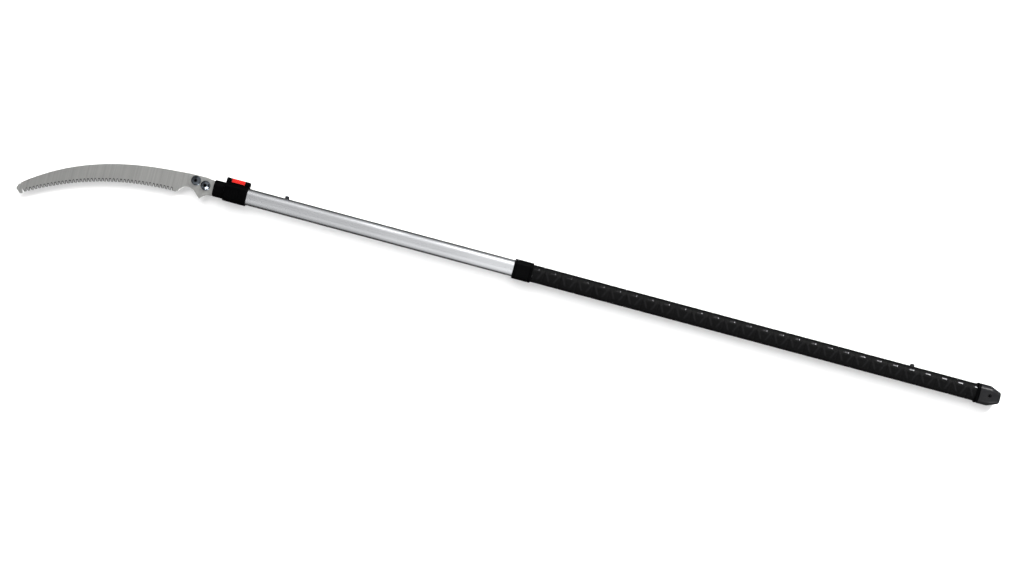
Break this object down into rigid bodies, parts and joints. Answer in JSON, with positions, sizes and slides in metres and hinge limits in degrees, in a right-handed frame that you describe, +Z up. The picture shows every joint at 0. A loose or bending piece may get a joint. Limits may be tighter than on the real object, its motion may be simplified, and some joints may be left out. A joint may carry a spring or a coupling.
{
  "type": "telescoping pole saw",
  "caption": "Telescoping pole saw: curved pruning blade bolted to a bracket on an oval aluminium pole that slides out of a gripped outer tube and is held by a lever lock.",
  "frame": {"origin": "under the middle of the grip's front ring, on its flat underside, which lies on the floor or table", "axes": "+X along the pole towards the butt, +Y towards the blade's back and the lock lever, +Z up, square to the blade's plane"},
  "size_m": [2.4304, 0.1684, 0.041],
  "materials": {
    "tube_aluminium": "satin anodised",
    "blade_steel": "ground across the blade",
    "bracket_steel": "satin",
    "fastener_chrome": "polished",
    "hidden_steel": "plain",
    "black_plastic": "moulded satin",
    "cap_plastic": "moulded satin",
    "grip_rubber": "ribbed, satin",
    "lever_red": "gloss",
    "bush_plastic": "plain",
    "black_oxide": "blackened, satin"
  },
  "bodies": {
    "outer_section": {"outer_tube": "tube_aluminium", "grip_front_ring": "black_plastic", "grip_sleeve": "grip_rubber", "end_cap": "cap_plastic", "end_cap_screw_upper": "black_oxide", "end_cap_screw_lower": "black_oxide", "lock_housing": "black_plastic", "front_bush": "bush_plastic", "lever_pin": "black_oxide", "housing_screw_front": "black_oxide", "housing_screw_rear": "black_oxide"},
    "inner_section": {"inner_tube": "tube_aluminium", "inner_tail_bush": "bush_plastic", "front_button_spring": "hidden_steel", "rear_button_spring": "hidden_steel", "head_ferrule": "black_plastic", "head_plug": "tube_aluminium", "head_rivet_upper": "tube_aluminium", "head_rivet_lower": "tube_aluminium", "blade": "blade_steel", "tang_spacer": "bracket_steel", "bracket_plate_near": "bracket_steel", "bracket_plate_far": "bracket_steel", "blade_bolt_front": "fastener_chrome", "blade_bolt_rear": "fastener_chrome", "bolt_washer_front": "fastener_chrome", "bolt_washer_rear": "fastener_chrome", "nut_washer_front": "fastener_chrome", "nut_washer_rear": "fastener_chrome", "blade_nut_front": "fastener_chrome", "blade_nut_rear": "fastener_chrome"},
    "lever": {"lock_lever": "lever_red"},
    "shoe": {"clamp_shoe": "bush_plastic"},
    "front_button": {"front_snap_button": "black_oxide"},
    "rear_button": {"rear_snap_button": "black_oxide"}
  },
  "joints": [
    {"name": "pole_slide", "type": "slide", "parent": "outer_section", "child": "inner_section", "axis": [-1, 0, 0], "range_m": [0, 1.566], "deforming": ["front_snap_button", "rear_snap_button"]},
    {"name": "lock_lever_hinge", "type": "hinge", "parent": "outer_section", "child": "lever", "pos_m": [-0.741, 0.0292, 0.0205], "axis": [0, 0, 1], "range_deg": [0, 95]},
    {"name": "shoe_lift", "type": "slide", "parent": "outer_section", "child": "shoe", "axis": [0, 1, 0], "range_m": [0, 0.0008]},
    {"name": "front_button_press", "type": "slide", "parent": "inner_section", "child": "front_button", "axis": [0, -1, 0], "range_m": [0, 0.0085], "stiffness_N_per_m": 800, "springref_m": -0.004, "deforming": ["front_button_spring"]},
    {"name": "rear_button_press", "type": "slide", "parent": "inner_section", "child": "rear_button", "axis": [0, -1, 0], "range_m": [0, 0.0085], "stiffness_N_per_m": 800, "springref_m": -0.004, "deforming": ["rear_button_spring"]}
  ],
  "couplings": [
    {"joint": "shoe_lift", "follows": "lock_lever_hinge", "m_per_rad": 0.00048}
  ]
}
